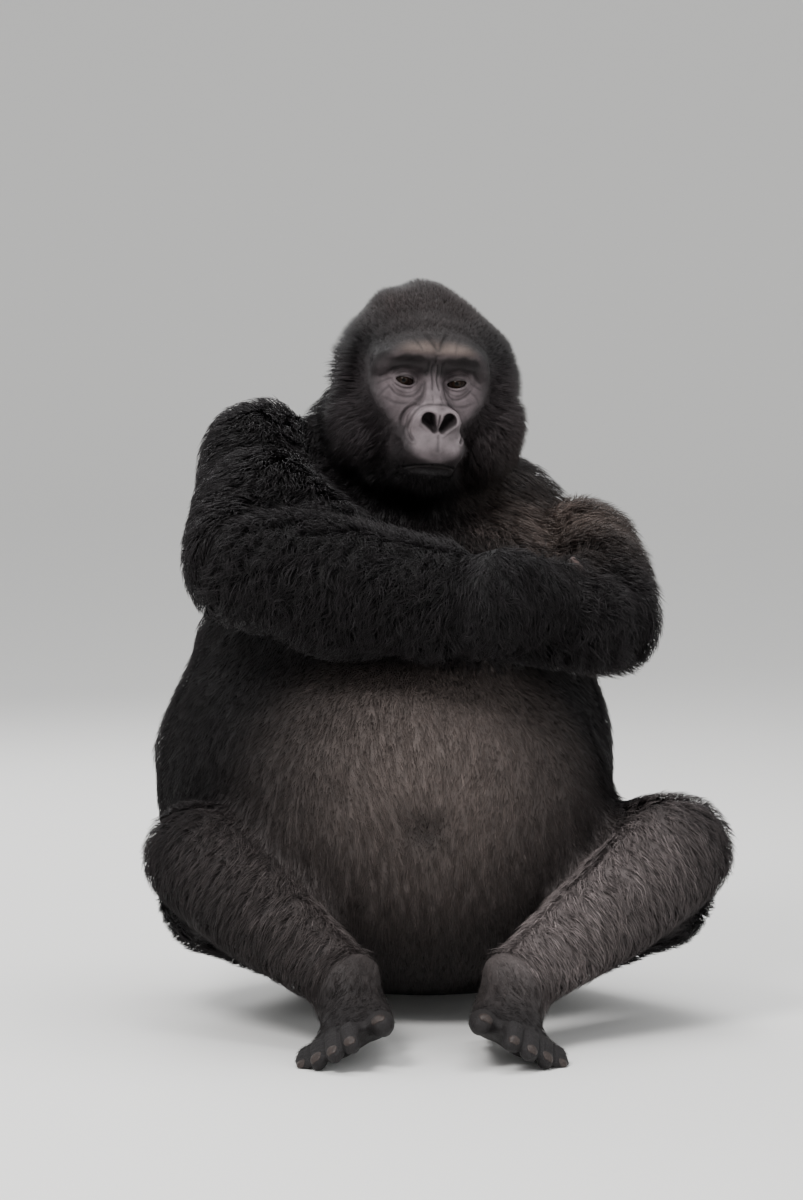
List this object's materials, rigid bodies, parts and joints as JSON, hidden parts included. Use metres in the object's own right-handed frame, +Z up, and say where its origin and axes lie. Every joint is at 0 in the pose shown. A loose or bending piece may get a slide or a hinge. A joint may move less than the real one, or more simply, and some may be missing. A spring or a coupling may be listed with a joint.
{
  "type": "sitting gorilla",
  "caption": "Life-size mountain gorilla that sits on the ground with a big round belly, bent knees turned out and its forearms folded across the chest.",
  "frame": {"origin": "on the ground, under the middle of the animal's bounding box", "axes": "+Z up; the animal faces -Y, and +X is its own left"},
  "size_m": [0.8278, 0.8678, 1.0255],
  "materials": {
    "coat": "long dull black-brown hair",
    "bare_skin": "dark grey, creased, slightly oily",
    "eye": "wet dark brown"
  },
  "bodies": {
    "root": {"head": "coat", "neck": "coat", "trunk": "coat", "right_upper_arm": "coat", "right_forearm": "coat", "right_hand": "bare_skin", "left_upper_arm": "coat", "left_forearm": "coat", "left_hand": "bare_skin", "right_thigh": "coat", "right_shin": "coat", "right_foot": "bare_skin", "left_thigh": "coat", "left_shin": "coat", "left_foot": "bare_skin", "right_ear": "bare_skin", "left_ear": "bare_skin", "right_eye": "eye", "left_eye": "eye"}
  },
  "joints": []
}
